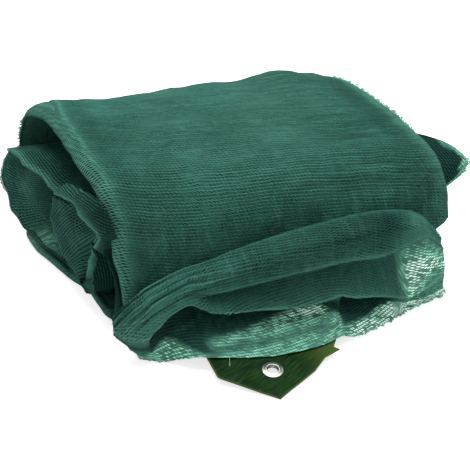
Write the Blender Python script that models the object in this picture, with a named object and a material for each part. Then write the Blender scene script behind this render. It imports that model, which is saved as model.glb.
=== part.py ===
"""A knitted olive harvesting net, folded lengthwise and rolled up loosely.

The roll lies on a flat surface along X. Its front is at -Y and its open,
three-turn end is at -X. The loose end of the net is heaped in front of it,
and one reinforced corner with a metal eyelet sticks out from under the hem.
Lengths in the tables are millimetres.
"""

import math
from collections import namedtuple

import bmesh
import bpy
import numpy as np

MM = 0.001

# Driving sizes
CLOTH_THICKNESS = 2.4
PATCH_THICKNESS = 1.6
TOUCH_GAP = 0.3
LEG_GAP = 1.0
EYELET_FLANGE = 21.0
EYELET_HOLE = 10.5
EYELET_BARREL = 12.8
EYELET_LIP = 1.3

# Mesh steps
STEPS_PER_FOLD = 3
RUN_SHARES = (0, 0.06, 0.13, 0.25, 0.4, 0.55, 0.67, 0.78, 0.87, 0.94, 1)
ARC_STEPS = 3
STEPS_PER_STATION = 2
STEPS_PER_CREASE = 3
EYELET_SIDES = 32

for old in list(bpy.data.objects):
    bpy.data.objects.remove(old, do_unlink=True)


def smooth_rows(rows, steps, by_distance=False):
    """Points on a smooth curve through the rows, steps of them to a row."""
    rows = np.asarray(rows, float)
    before = 2 * rows[0] - rows[1]
    after = 2 * rows[-1] - rows[-2]
    knots = np.vstack([before, rows, after])
    moves = np.diff(knots, axis=0)
    if by_distance:
        spans = np.sqrt(np.linalg.norm(moves, axis=1))
    else:
        spans = np.ones(len(moves))
    points = []
    for i in range(1, len(knots) - 2):
        start, end, move = knots[i], knots[i + 1], moves[i]
        last, span, following = spans[i - 1], spans[i], spans[i + 1]
        leave = move + span * (moves[i - 1] / last - (end - knots[i - 1]) / (last + span))
        arrive = move + span * (moves[i + 1] / following - (knots[i + 2] - start) / (span + following))
        for k in range(steps):
            t = k / steps
            ease = t * t * (3 - 2 * t)
            points.append(start + ease * move + t * (1 - t) * ((1 - t) * leave - t * arrive))
    points.append(rows[-1])
    return np.array(points)


def add_body(name, loops, material):
    """A closed body from loops of points, capped at both ends."""
    mesh = bmesh.new()
    rings = [[mesh.verts.new(p * MM) for p in loop] for loop in loops]
    count = len(rings[0])
    for here, there in zip(rings, rings[1:]):
        for k in range(count):
            n = (k + 1) % count
            mesh.faces.new((here[k], here[n], there[n], there[k]))
    for ring in (rings[0], rings[-1]):
        for k in range(1, count // 2):
            mesh.faces.new((ring[k - 1], ring[k], ring[-k - 1], ring[-k]))
    bmesh.ops.triangulate(mesh, faces=mesh.faces)
    bmesh.ops.recalc_face_normals(mesh, faces=mesh.faces)
    return finish_object(name, mesh, material)


def finish_object(name, mesh, material):
    data = bpy.data.meshes.new(name)
    mesh.to_mesh(data)
    mesh.free()
    data.materials.append(material)
    piece = bpy.data.objects.new(name, data)
    bpy.context.scene.collection.objects.link(piece)
    data.shade_smooth()
    return piece


def make_material(name, colour, roughness, metallic=0.0):
    material = bpy.data.materials.new(name)
    material.use_nodes = True
    surface = material.node_tree.nodes["Principled BSDF"]
    surface.inputs["Base Color"].default_value = (*colour, 1.0)
    surface.inputs["Roughness"].default_value = roughness
    surface.inputs["Metallic"].default_value = metallic
    return material


GREEN_NET = make_material("green_net", (0.032, 0.110, 0.090), 0.62)
OLIVE_TARP = make_material("olive_tarp", (0.020, 0.052, 0.020), 0.55)
STEEL = make_material("steel", (0.62, 0.62, 0.60), 0.28, 1.0)


# Roll
# The net is folded to a stack of plies, and the stack is wound three times.
# Each row is one fold or run of the stack's middle, from the front foot
# inwards, with its place at the left and right ends, how far the plies reach
# there, and how thick they lie.
Wind = namedtuple("Wind", "place left_y left_z right_y right_z left_x right_x thick")
WINDING = [
    Wind("front foot", -57, 0, -81, 0, -131, 188, 9),
    Wind("shin", -59, 38, -85, 40, -132, 190, 13),
    Wind("front face", -51, 78, -82, 80, -132, 192, 14),
    Wind("front brow", -30, 120, -74, 116, -131, 191, 14),
    Wind("brow", -3, 147, -48, 138, -134, 189, 14),
    Wind("top front", 43, 160, 10, 144, -139, 186, 15),
    Wind("top", 97, 162, 75, 144, -142, 188, 15),
    Wind("top back", 148, 157, 137, 140, -145, 189, 15),
    Wind("back brow", 190, 141, 183, 124, -153, 188, 14),
    Wind("back", 209, 104, 199, 88, -156, 186, 14),
    Wind("back low", 208, 50, 195, 46, -160, 186, 14),
    Wind("heel", 188, 13, 172, 13, -162, 186, 14),
    Wind("floor back", 150, 7, 135, 7, -161, 186, 14),
    Wind("floor", 80, 7, 60, 7, -155, 188, 14),
    Wind("floor front", 4, 7, -26, 7, -142, 188, 14),
    Wind("second foot", -28, 18, -57, 17, -137, 186, 14),
    Wind("second shin", -36, 44, -64, 46, -136, 184, 14),
    Wind("second front", -28, 76, -62, 84, -138, 182, 13),
    Wind("second brow", -8, 101, -46, 116, -141, 238, 9),
    Wind("second top front", 36, 117, 6, 123, -150, 212, 13),
    Wind("second top", 92, 107, 70, 110, -156, 182, 14),
    Wind("second top back", 147, 113, 126, 103, -167, 180, 15),
    Wind("second back brow", 181, 97, 160, 80, -176, 180, 24),
    Wind("second back", 180, 58, 160, 52, -174, 180, 32),
    Wind("second heel", 158, 32, 142, 31, -166, 180, 20),
    Wind("second floor back", 118, 26, 104, 26, -159, 182, 14),
    Wind("second floor", 58, 26, 40, 26, -149, 182, 14),
    Wind("third foot", 10, 33, -20, 33, -149, 180, 14),
    Wind("third front", -8, 59, -38, 60, -150, 180, 14),
    Wind("third brow", 7, 83, -22, 90, -147, 182, 12),
    Wind("third top", 50, 91, 32, 92, -150, 182, 12),
    Wind("third crown", 99, 80, 86, 84, -154, 180, 12),
    Wind("third back", 121, 58, 110, 60, -150, 178, 10),
    Wind("third heel", 98, 44, 86, 45, -142, 176, 11),
    Wind("inner run", 52, 49, 36, 49, -128, 174, 12),
    Wind("inner tip", 18, 57, -4, 57, -124, 172, 8),
]
# Where the crown sags or rises: share of the way along the roll, spread, height.
CROWN_RISES = [(0.06, 0.07, 6), (0.79, 0.1, 7.5), (1.03, 0.07, -9)]
CROWN_ROWS = (5, 10)
FRONT_ROWS = 5


def winding_at(u):
    """The stack's middle line at share u of the way from left to right, with its normals."""
    table = smooth_rows([wind[1:] for wind in WINDING], STEPS_PER_FOLD)
    left, right, reach, thick = table[:, 0:2], table[:, 2:4], table[:, 4:6], table[:, 6]
    line = left + (right - left) * u
    first, last = CROWN_ROWS[0] * STEPS_PER_FOLD, CROWN_ROWS[1] * STEPS_PER_FOLD
    share = np.clip((np.arange(len(line)) - first) / (last - first), 0, 1)
    for middle, spread, rise in CROWN_RISES:
        line[:, 1] += rise * np.sin(np.pi * share) ** 2 * math.exp(-(((u - middle) / spread) ** 2))
    along = np.gradient(line, axis=0)
    along /= np.linalg.norm(along, axis=1)[:, None]
    out = np.stack([-along[:, 1], along[:, 0]], axis=1)
    return line, out, reach, thick


def stack_point(row, u, side, lines):
    """A point on the stack's outer (side 1) or inner (side -1) face."""
    line, out, reach, thick = lines
    x = reach[row, 0] + (reach[row, 1] - reach[row, 0]) * u
    y, z = line[row] + out[row] * side * thick[row] / 2
    return np.array([x, y, z])


def turned_edge(row, end, lines):
    """The rounded edge where the plies turn at the right (end 1) or left (end -1)."""
    line, out, reach, thick = lines
    x = reach[row, 1] if end > 0 else reach[row, 0]
    half = thick[row] / 2
    points = []
    for k in range(1, ARC_STEPS + 1):
        turn = math.pi * k / (ARC_STEPS + 1)
        y, z = line[row] + out[row] * half * math.cos(turn) * end
        points.append(np.array([x + end * half * math.sin(turn), y, z]))
    return points


def make_roll():
    lines = [winding_at(u) for u in RUN_SHARES]
    grid = []
    for row in range(len(lines[0][0])):
        outer = [stack_point(row, u, 1, at) for u, at in zip(RUN_SHARES, lines)]
        inner = [stack_point(row, u, -1, at) for u, at in zip(RUN_SHARES, lines)]
        right = turned_edge(row, 1, lines[-1])
        left = turned_edge(row, -1, lines[0])
        ring = np.array(outer + right + inner[::-1] + left)
        ring[:, 2] = np.maximum(ring[:, 2], 0.0)
        grid.append(ring)
    return add_body("net_roll", grid, GREEN_NET)


def roll_front(x, z):
    """Y of the roll's front face at height z, x along the roll."""
    u = np.clip((x - WINDING[2].left_x) / (WINDING[2].right_x - WINDING[2].left_x), 0, 1)
    line, out, _, thick = winding_at(u)
    face = (line + out * thick[:, None] / 2)[: FRONT_ROWS * STEPS_PER_FOLD]
    return float(np.interp(z, face[:, 1], face[:, 0]))


# Loose end
# The net's last stretch is heaped in front of the roll in two swags and a hem.
# Each row is one section across the heap. The ridge leans on the roll, the
# belly swells out below it, the cloth turns in under the swag and comes out
# again at the edge, and behind the edge it turns in once more before it slopes
# out to the hem. Deep and hollow say how far it turns in.
Fold = namedtuple(
    "Fold",
    "x ridge_y ridge_z belly under_y under_z deep edge_y edge_z hollow hem_x hem_y hem_z",
)
HEAP = [
    Fold(-156, -75, 53, 1, -81, 42, 0, -83, 33, 0, -152, -85, 20),
    Fold(-147, -76, 58, 4, -89, 45, 0, -92, 31, 0, -141, -91, 9),
    Fold(-134, -77, 65, 8, -96, 50, 0, -101, 34, 0, -128, -94, 3),
    Fold(-126, -77, 69, 9, -98, 57, 0, -102, 42, 13, -118, -98, 1.2),
    Fold(-108, -78, 76, 9, -100, 69, 0, -103, 57, 24, -107, -107, 7),
    Fold(-90, -79, 82, 10, -101, 74, 0, -104, 62, 25, -95, -121, 14.5),
    Fold(-74, -80, 85, 11, -101, 66, 4, -106, 51, 26, -77, -128, 13.9),
    Fold(-55, -81, 88, 12, -102, 65, 18, -108, 45, 27, -54, -136, 12.4),
    Fold(-20, -83, 95, 13, -106, 68, 22, -112, 42, 28, -26, -144, 11.2),
    Fold(20, -87, 102, 13, -111, 72, 24, -117, 38, 26, 4, -147, 10.7),
    Fold(46, -89, 105, 13, -114, 74, 25, -120, 39, 22, 22, -147, 10.7),
    Fold(58, -91, 106, 12, -115, 75, 25, -121, 42, 3, 35, -146, 10.9),
    Fold(68, -92, 107, 12, -116, 75, 25, -122, 39, 22, 50, -143, 11.5),
    Fold(80, -93, 108, 12, -117, 75, 24, -123, 36, 24, 68, -138, 4),
    Fold(105, -96, 109, 11, -120, 74, 22, -125, 31, 22, 104, -131, 1.2),
    Fold(132, -99, 108, 9, -123, 82, 14, -126, 24, 12, 138, -122, 1.2),
    Fold(158, -103, 103, 6, -120, 87, 1, -124, 30, 3, 165, -116, 1.2),
    Fold(177, -105, 86, 3, -113, 70, 0, -117, 40, 0, 185, -111, 1.2),
]
# The leg hides between the roll and the swag, and leans off the roll towards its top.
LEG_FOOT = 24
LEG_BELOW_RIDGE = 12
LEG_SHORTEST = 8
LEG_SHARES = (0, 0.35, 0.7, 1)
LEG_LEAN = 2.0
SHOULDER = 2.8
# How high the belly's two points lie off the swag's middle, and how full they are.
BELLY_POINTS = ((0.28, 0.8), (-0.15, 1.0))
# Under the swag the cloth drops a little as it turns in, then comes out low down.
TUCK_DROP = 3
TUCK_SLOPE = 0.1
TUCK_RETURN = 0.45
TUCK_LOW = 0.65
# Behind the edge it turns in again, and the apron slopes from there to the hem.
HOLLOW_START = 0.6
HOLLOW_LOW = 0.28
APRON_X = 0.4
APRON_Y = 0.38
APRON_Z = 0.34
# Inside a fold the cloth takes this share of the fold's radius at most.
TIGHT_SHARE = 0.5
FLAT_TURN = 0.001


def between(first, second, share):
    return first + (second - first) * share


def heap_section(fold):
    """The cloth's middle line in one section, from the leg's foot behind the ridge to the hem."""
    wall = LEG_GAP + CLOTH_THICKNESS / 2
    leg_top = fold.ridge_z - LEG_BELOW_RIDGE
    leg_foot = min(LEG_FOOT, leg_top - LEG_SHORTEST)
    leg = []
    for share in LEG_SHARES:
        z = between(leg_foot, leg_top, share)
        leg.append((roll_front(fold.x, z) - wall - LEG_LEAN * share**2, z))
    ridge = [(fold.ridge_y + SHOULDER, fold.ridge_z - SHOULDER), (fold.ridge_y, fold.ridge_z)]
    swag_y = between(fold.ridge_y, fold.under_y, 0.5)
    swag_z = between(fold.ridge_z, fold.under_z, 0.5)
    tall = fold.ridge_z - fold.under_z
    belly = [(swag_y - full * fold.belly, swag_z + high * tall) for high, full in BELLY_POINTS]
    tuck = [
        (fold.under_y, fold.under_z),
        (fold.under_y + fold.deep, fold.under_z - TUCK_DROP - TUCK_SLOPE * fold.deep),
        (fold.edge_y + TUCK_RETURN * fold.deep, between(fold.under_z, fold.edge_z, TUCK_LOW)),
    ]
    back_y = fold.edge_y + fold.hollow
    back_z = between(fold.edge_z, fold.hem_z, HOLLOW_LOW)
    hollow = [
        (fold.edge_y, fold.edge_z),
        (fold.edge_y + HOLLOW_START * fold.hollow, fold.edge_z - TUCK_DROP),
        (back_y, back_z - TUCK_DROP),
    ]
    line = [(fold.x, y, z) for y, z in leg + ridge + belly + tuck + hollow]
    apron = (
        between(fold.x, fold.hem_x, APRON_X),
        between(back_y, fold.hem_y, APRON_Y),
        between(back_z, fold.hem_z, APRON_Z) - TUCK_DROP,
    )
    return np.array(line + [apron, (fold.hem_x, fold.hem_y, fold.hem_z)], float)


def sheet_ring(middle, thickness):
    """The outline of a sheet along a middle line in a section, pressed thinner inside tight folds."""
    along = np.gradient(middle, axis=0)
    across = np.stack([np.zeros(len(middle)), along[:, 2], -along[:, 1]], axis=1)
    across /= np.linalg.norm(across, axis=1)[:, None]
    steps = np.diff(middle[:, 1:], axis=0)
    before, after = steps[:-1], steps[1:]
    cross = before[:, 0] * after[:, 1] - before[:, 1] * after[:, 0]
    turn = np.zeros(len(middle))
    turn[1:-1] = np.arctan2(cross, (before * after).sum(axis=1))
    reach = np.full(len(middle), thickness)
    reach[1:-1] = (np.linalg.norm(before, axis=1) + np.linalg.norm(after, axis=1)) / 2
    room = TIGHT_SHARE * reach / np.maximum(np.abs(turn), FLAT_TURN)
    inside = np.minimum(thickness / 2, room)[:, None]
    left_turn = (turn > 0)[:, None]
    right_side = across * np.where(left_turn, thickness / 2, inside)
    left_side = across * np.where(left_turn, inside, thickness / 2)
    return np.vstack([middle + right_side, (middle - left_side)[::-1]])


def make_loose_end():
    sections = np.array([heap_section(f) for f in HEAP])
    count = len(sections[0])
    runs = smooth_rows(sections.reshape(len(HEAP), -1), STEPS_PER_STATION)
    grid = []
    for run in runs:
        middle = smooth_rows(run.reshape(count, 3), STEPS_PER_CREASE, by_distance=True)
        ring = sheet_ring(middle, CLOTH_THICKNESS)
        ring[:, 2] = np.maximum(ring[:, 2], 0.0)
        grid.append(ring)
    return add_body("loose_end", grid, GREEN_NET)


# Corner patch
# A woven tarpaulin corner that is sewn to the net's corner to carry an eyelet.
# It slopes from under the hem down to its tip on the floor. Each point of its
# outline is a distance across and up the slope from the tip.
PATCH_TIP = (-41, -194, 0)
PATCH_SLOPE = math.atan(0.155)
PATCH_OUTLINE = [
    (0, 0),
    (14, 7),
    (47, 22),
    (64, 34),
    (82, 39),
    (78, 44),
    (88, 56),
    (82, 84),
    (-36, 86),
    (-43, 74),
    (-41, 50),
    (-36, 40),
    (-13, 16),
]
EYELET_AT = (9, 35.5)
# A lip's section from the bore outwards: share of the flange's width, share of its height.
LIP_SECTION = [(0, 0.4), (0.22, 1), (0.74, 1), (1, 0.4), (1, 0)]


def on_patch(u, v, height=0.0):
    """A place on the patch's underside, or so far above it."""
    rise, run = math.sin(PATCH_SLOPE), math.cos(PATCH_SLOPE)
    tip_x, tip_y, tip_z = PATCH_TIP
    return np.array([tip_x + u, tip_y + v * run - height * rise, tip_z + v * rise + height * run])


def around_eyelet(radius, height):
    """Points of a circle about the eyelet's axis, at a height over the patch's underside."""
    u, v = EYELET_AT
    turns = np.linspace(0, 2 * math.pi, EYELET_SIDES, endpoint=False)
    return [on_patch(u + radius * math.cos(t), v + radius * math.sin(t), height) for t in turns]


def join_circles(circles, closed):
    """A mesh through circles of points, closed on itself or capped at its two ends."""
    mesh = bmesh.new()
    rings = [[mesh.verts.new(place * MM) for place in circle] for circle in circles]
    pairs = list(zip(rings, rings[1:]))
    if closed:
        pairs.append((rings[-1], rings[0]))
    else:
        mesh.faces.new(rings[0])
        mesh.faces.new(rings[-1])
    for here, there in pairs:
        count = len(here)
        for k in range(count):
            n = (k + 1) % count
            mesh.faces.new((here[k], here[n], there[n], there[k]))
    bmesh.ops.recalc_face_normals(mesh, faces=mesh.faces)
    return mesh


def make_patch():
    low = [on_patch(u, v) for u, v in PATCH_OUTLINE]
    high = [on_patch(u, v, PATCH_THICKNESS) for u, v in PATCH_OUTLINE]
    patch = finish_object("corner_patch", join_circles([low, high], closed=False), OLIVE_TARP)
    hole = EYELET_BARREL / 2 + TOUCH_GAP
    plug = [around_eyelet(hole, height) for height in (-PATCH_THICKNESS, 2 * PATCH_THICKNESS)]
    cutter = finish_object("eyelet_cutter", join_circles(plug, closed=False), STEEL)
    cutter.hide_render = True
    cutter.display_type = "WIRE"
    cut = patch.modifiers.new("eyelet_hole", "BOOLEAN")
    cut.object = cutter
    cut.operation = "DIFFERENCE"
    cut.solver = "EXACT"
    return patch


def make_eyelet():
    """The pressed eyelet: a lip above the patch, a barrel through it and a lip below."""
    bore, barrel, flange = EYELET_HOLE / 2, EYELET_BARREL / 2, EYELET_FLANGE / 2
    under, over = -TOUCH_GAP, PATCH_THICKNESS + TOUCH_GAP
    above, below = [], []
    for out, high in LIP_SECTION:
        radius = between(bore, flange, out)
        above.append((radius, over + EYELET_LIP * high))
        below.append((radius, under - EYELET_LIP * high))
    section = above + [(barrel, over), (barrel, under)] + below[::-1]
    circles = [around_eyelet(radius, height) for radius, height in section]
    mesh = join_circles(circles, closed=True)
    bmesh.ops.triangulate(mesh, faces=mesh.faces)
    return finish_object("eyelet", mesh, STEEL)


make_roll()
make_loose_end()
make_patch()
make_eyelet()
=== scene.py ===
"""The look of a rolled knitted olive net with one tarpaulin corner and its eyelet.

Lengths in the tables are millimetres, as a cutter would note them, and the
meshes are made in metres. X runs along the roll, its front is at -Y.
"""

import math
from collections import namedtuple

import bmesh
import bpy
import numpy as np
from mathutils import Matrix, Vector, geometry


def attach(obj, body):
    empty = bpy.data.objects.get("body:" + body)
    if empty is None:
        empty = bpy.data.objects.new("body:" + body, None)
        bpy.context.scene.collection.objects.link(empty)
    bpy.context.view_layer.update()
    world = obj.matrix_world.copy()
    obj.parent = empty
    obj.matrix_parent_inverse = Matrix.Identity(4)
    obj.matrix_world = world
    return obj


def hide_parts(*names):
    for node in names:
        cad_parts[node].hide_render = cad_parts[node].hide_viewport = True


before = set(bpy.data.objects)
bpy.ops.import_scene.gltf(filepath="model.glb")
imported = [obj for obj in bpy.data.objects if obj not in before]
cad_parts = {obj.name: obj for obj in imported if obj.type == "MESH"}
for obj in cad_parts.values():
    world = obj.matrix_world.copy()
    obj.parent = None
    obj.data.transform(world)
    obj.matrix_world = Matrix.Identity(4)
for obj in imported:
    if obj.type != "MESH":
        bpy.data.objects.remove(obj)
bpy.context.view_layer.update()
MM = 0.001

# Floor, light and camera
# The net lies on a pale matt table top in a bright studio: a white tent all
# round, one wide soft box overhead, and a long lens looking down from the left.
LOOK_FROM = (-24.0, 31.0)
LOOK_AT = Vector((0.0, 0.0, 0.06))
LENS_DISTANCE = 1.4
PIXELS_PER_MM = 0.98
PICTURE_SIDE = 470
SENSOR = 36.0
TENT_STRENGTH = 0.40
SOFT_BOX = dict(place=(0.15, 0.25, 1.7), side=1.3, watts=30.0)
TABLE_GLOW = 0.72
TABLE_REACH = 6.0
WHITE = (1.0, 1.0, 1.0, 1.0)


class Wire:
    """One socket of a material's node tree, with arithmetic that adds its Math nodes."""

    def __init__(self, tree, socket=None):
        self.tree = tree
        self.socket = socket

    def node(self, kind, settings=None, values=None, out=0):
        made = self.tree.nodes.new("ShaderNode" + kind)
        for name, value in (settings or {}).items():
            if name == "stops":
                for stop, (place, colour) in zip(made.color_ramp.elements, value):
                    stop.position, stop.color = place, colour
            else:
                setattr(made, name, value)
        for name, value in (values or {}).items():
            plug(self.tree, value, made.inputs[name])
        return Wire(self.tree, made.outputs[out])

    def maths(self, operation, *others, clamp=False):
        values = dict(enumerate((self, *others)))
        return self.node("Math", {"operation": operation, "use_clamp": clamp}, values)

    def axis(self, number):
        """One of a vector's three lengths."""
        return self.node("SeparateXYZ", None, {0: self}, number)

    def held(self, other=1.0):
        """The product, held between 0 and 1."""
        return self.maths("MULTIPLY", other, clamp=True)

    def __add__(self, other):
        return self.maths("ADD", other)

    def __sub__(self, other):
        return self.maths("SUBTRACT", other)

    def __mul__(self, other):
        return self.maths("MULTIPLY", other)

    def __truediv__(self, other):
        return self.maths("DIVIDE", other)

    def __mod__(self, other):
        return self.maths("FLOORED_MODULO", other)

    def __abs__(self):
        return self.maths("ABSOLUTE")

    def __radd__(self, other):
        return self + other

    def __rmul__(self, other):
        return self * other

    def __rsub__(self, other):
        return self.node("Math", {"operation": "SUBTRACT"}, {0: other, 1: self})

    def step(self, low, high):
        """0 under low and 1 over high, eased between; low may be the larger."""
        settings = {"interpolation_type": "SMOOTHSTEP"}
        return self.node("MapRange", settings, {"Value": self, "From Min": low, "From Max": high})


def plug(tree, value, socket):
    if isinstance(value, Wire):
        tree.links.new(value.socket, socket)
    elif isinstance(value, (tuple, list)) and len(value) == 3 and len(socket.default_value) == 4:
        socket.default_value = (*value, 1.0)
    else:
        socket.default_value = value


def blend(wire, share, first, second):
    """A colour between two others."""
    settings = {"data_type": "RGBA"}
    return wire.node("Mix", settings, {0: share, 6: first, 7: second}, out=2)


def noise(wire, place, scale, detail, out=0):
    return wire.node("TexNoise", None, {"Vector": place, "Scale": scale, "Detail": detail}, out)


def feed(tree, shader, **values):
    """Plug values into a shader's sockets, whose names are written with underscores here."""
    for name, value in values.items():
        plug(tree, value, shader.inputs[name.replace("_", " ")])


def new_finish(name, **surface):
    """A material, its Principled shader and a wire to add nodes with."""
    material = bpy.data.materials.new(name)
    material.use_nodes = True
    shader = material.node_tree.nodes["Principled BSDF"]
    feed(material.node_tree, shader, **surface)
    return material, shader, Wire(material.node_tree)


def stand(name, data):
    """An object of its own in the scene."""
    made = bpy.data.objects.new(name, data)
    bpy.context.scene.collection.objects.link(made)
    return made


def floor_finish():
    """Matt white board. It glows a little to the lens alone, as a table lit from below does."""
    material, shader, wire = new_finish("pale table", Roughness=0.7, Specular_IOR_Level=0.2)
    place = wire.node("TexCoord", out=3)
    grain = noise(wire, place, 40.0, 3.0)
    colour = blend(wire, grain, (0.90, 0.90, 0.89), (0.95, 0.95, 0.94))
    glowing = wire.tree.nodes.new("ShaderNodeBsdfPrincipled")
    feed(wire.tree, glowing, Roughness=0.7, Emission_Color=WHITE, Emission_Strength=TABLE_GLOW)
    for board in (shader, glowing):
        feed(wire.tree, board, Base_Color=colour)
    seen = wire.node("LightPath")
    boards = {0: seen, 1: Wire(wire.tree, shader.outputs[0]), 2: Wire(wire.tree, glowing.outputs[0])}
    lit = wire.node("MixShader", None, boards)
    wire.tree.links.new(lit.socket, wire.tree.nodes["Material Output"].inputs[0])
    return material


floor_mesh = bmesh.new()
bmesh.ops.create_grid(floor_mesh, x_segments=8, y_segments=8, size=TABLE_REACH)
floor_data = bpy.data.meshes.new("table_top")
floor_mesh.to_mesh(floor_data)
floor_mesh.free()
floor_data.materials.append(floor_finish())
table_top = stand("table_top", floor_data)

world = bpy.data.worlds.new("white tent")
bpy.context.scene.world = world
world.use_nodes = True
sky = world.node_tree
tent = sky.nodes["Background"]
wall = sky.nodes.new("ShaderNodeBackground")
seen = sky.nodes.new("ShaderNodeLightPath")
either = sky.nodes.new("ShaderNodeMixShader")
feed(sky, tent, Color=WHITE, Strength=TENT_STRENGTH)
feed(sky, wall, Color=WHITE)
sky.links.new(seen.outputs["Is Camera Ray"], either.inputs[0])
sky.links.new(tent.outputs[0], either.inputs[1])
sky.links.new(wall.outputs[0], either.inputs[2])
sky.links.new(either.outputs[0], sky.nodes["World Output"].inputs[0])

lamp = bpy.data.lights.new("soft_box", "AREA")
lamp.shape = "SQUARE"
lamp.size = SOFT_BOX["side"]
lamp.energy = SOFT_BOX["watts"]
soft_box = stand("soft_box", lamp)
soft_box.location = SOFT_BOX["place"]
soft_box.rotation_mode = "QUATERNION"
soft_box.rotation_quaternion = (LOOK_AT - soft_box.location).to_track_quat("-Z", "Y")

turn, tilt = (math.radians(angle) for angle in LOOK_FROM)
backwards = Vector(
    (math.sin(turn) * math.cos(tilt), -math.cos(turn) * math.cos(tilt), math.sin(tilt))
)
lens = bpy.data.cameras.new("camera")
lens.sensor_width = SENSOR
lens.lens = PIXELS_PER_MM * LENS_DISTANCE / MM / PICTURE_SIDE * SENSOR
camera = stand("camera", lens)
camera.location = LOOK_AT + backwards * LENS_DISTANCE
camera.rotation_mode = "QUATERNION"
camera.rotation_quaternion = backwards.to_track_quat("Z", "Y")
bpy.context.scene.camera = camera
bpy.context.scene.view_settings.view_transform = "Standard"

# The roll
# Knitted polyethylene netting, folded lengthwise to a stack of plies and wound
# three times by hand. The ribs of the knit run along the roll. The outer ply is
# open enough to show the plies beneath, which lie a little back from it.
RIB_PITCH = 3.05
RIB_HALF = 0.50
RIB_FADE = 0.2
LOOP_PITCH = 3.8
INLAY_STEP = 1.2
INLAY_HALF = 0.38
INLAY_FADE = 0.18
SLACK_ACROSS = 3.6
SLACK_ALONG = 9.0
FRONT_LEVEL = (0.135, 0.105)
RIGHT_SIDE = (0.02, 0.11)
CLOSENESS_SCALE = 48.0
CLOUD_SCALE = 14.0
STRAND_SCALE = 230.0
# Streaks in the knit: how often they change in a millimetre, along the ribs and across them.
BARS = (0.13, 0.012)
THIN_BARS = (0.31, 0.014)
LINES = (0.012, 0.22)
# Colours of painted light: a pale highlight colour, and for painted backlight the thread against the light,
# the bright holes and the glow of those holes.
HIGHLIGHT_THREAD = (0.17, 0.46, 0.35)
SHEER_THREAD = (0.042, 0.205, 0.140)
SHEER_LIGHT = (0.40, 0.92, 0.68)
HOLE_WHITE = (0.80, 0.98, 0.88)
HOLE_GLOW = ((0.12, 0.27, 0.19), (0.44, 0.64, 0.54))
# What is painted on a net piece, point by point, in the order below: painted light towards a
# pale highlight colour; painted shade; the inner turns, whose pits are painted darker and yarn lighter;
# holes sealed against what lies behind, which then show a painted ply and painted shadow; and sheer,
# painted backlight of a single ply against the light floor, with bright glowing holes, most of all over 1.
MARKS = ("lift", "deep", "hollow", "sealed", "sheer")
MOST = 1.5
Wind = namedtuple("Wind", "left_y left_z right_y right_z left_x right_x thick")
WINDING = [
    # the outer turn: up the front, over the crown, down the back and along the floor
    Wind(-57, 0, -81, 0, -133, 188, 9),
    Wind(-59, 38, -85, 40, -135, 190, 13),
    Wind(-51, 78, -82, 80, -138, 192, 14),
    Wind(-30, 120, -74, 116, -140, 191, 14),
    Wind(-3, 147, -48, 138, -142, 189, 14),
    Wind(43, 160, 10, 144, -146, 186, 15),
    Wind(97, 162, 75, 144, -146, 188, 15),
    Wind(148, 157, 137, 140, -149, 189, 15),
    Wind(190, 141, 183, 124, -157, 188, 14),
    Wind(209, 104, 199, 88, -160, 186, 14),
    Wind(208, 50, 195, 46, -162, 186, 14),
    Wind(188, 13, 172, 13, -165, 186, 14),
    Wind(150, 7, 135, 7, -168, 186, 14),
    Wind(80, 7, 60, 7, -152, 188, 14),
    Wind(4, 7, -26, 7, -138, 188, 14),
    # the second turn, whose right end sticks out as a tip
    Wind(-28, 18, -57, 17, -137, 186, 14),
    Wind(-36, 44, -64, 46, -136, 184, 14),
    Wind(-28, 76, -62, 84, -138, 182, 13),
    Wind(-8, 101, -46, 116, -141, 238, 9),
    Wind(36, 117, 6, 123, -150, 212, 13),
    Wind(92, 107, 70, 110, -156, 182, 14),
    Wind(147, 113, 126, 103, -175, 180, 15),
    Wind(181, 97, 160, 80, -172, 180, 24),
    Wind(180, 58, 160, 52, -174, 180, 32),
    Wind(158, 32, 142, 31, -168, 180, 20),
    Wind(118, 26, 104, 26, -159, 182, 14),
    Wind(58, 26, 40, 26, -149, 182, 14),
    # the third turn and the run inside it
    Wind(10, 33, -20, 33, -149, 180, 14),
    Wind(-8, 59, -38, 60, -150, 180, 14),
    Wind(7, 83, -22, 90, -147, 182, 12),
    Wind(50, 91, 32, 92, -150, 182, 12),
    Wind(99, 80, 86, 84, -154, 180, 12),
    Wind(121, 58, 110, 60, -150, 178, 10),
    Wind(98, 44, 86, 45, -142, 176, 11),
    Wind(52, 49, 36, 49, -128, 174, 12),
    Wind(18, 57, -4, 57, -124, 172, 8),
]
# Places in the winding are counted in rows of that table, whole or part.
CROWN_RISES = [(0.06, 0.07, 6), (0.58, 0.07, 3.4), (0.81, 0.08, 8.2), (1.03, 0.07, -9)]
CROWN_ROWS = (5, 10)
FIRST_TURN = 15
ROW_LENGTH = 45
EDGE_SLANT = 7.5
FOOT_STEP = 12.0
# Each stretch of rows: where it sets in and how gently, where it ends and how gently.
UNDER_LAP_ROWS = (14.2, 0.5, 17.8, 0.5)
TIP_ROWS = (17.0, 0.4, 19.4, 0.4)
BEHIND_WAVE_ROWS = (18.5, 1.0, 22.0, 0.4)
BACK_FOLD_ROWS = (21.5, 0.7, 26, 0.8)
CROWN_BACK_ROWS = (5.6, 0.8, 10.5, 0.8)
# Each onset: the row where it sets in, or is over, and the rows it takes.
TOP_LIP_END = (19.8, 1.4)
LOW_TURN = (23.4, 1.0)
INNER_START = (26.5, 0.6)
TIP_FRONT_END = (18.75, 0.3)
FRONT_LEFT_END = (4.0, 1.5)
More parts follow.
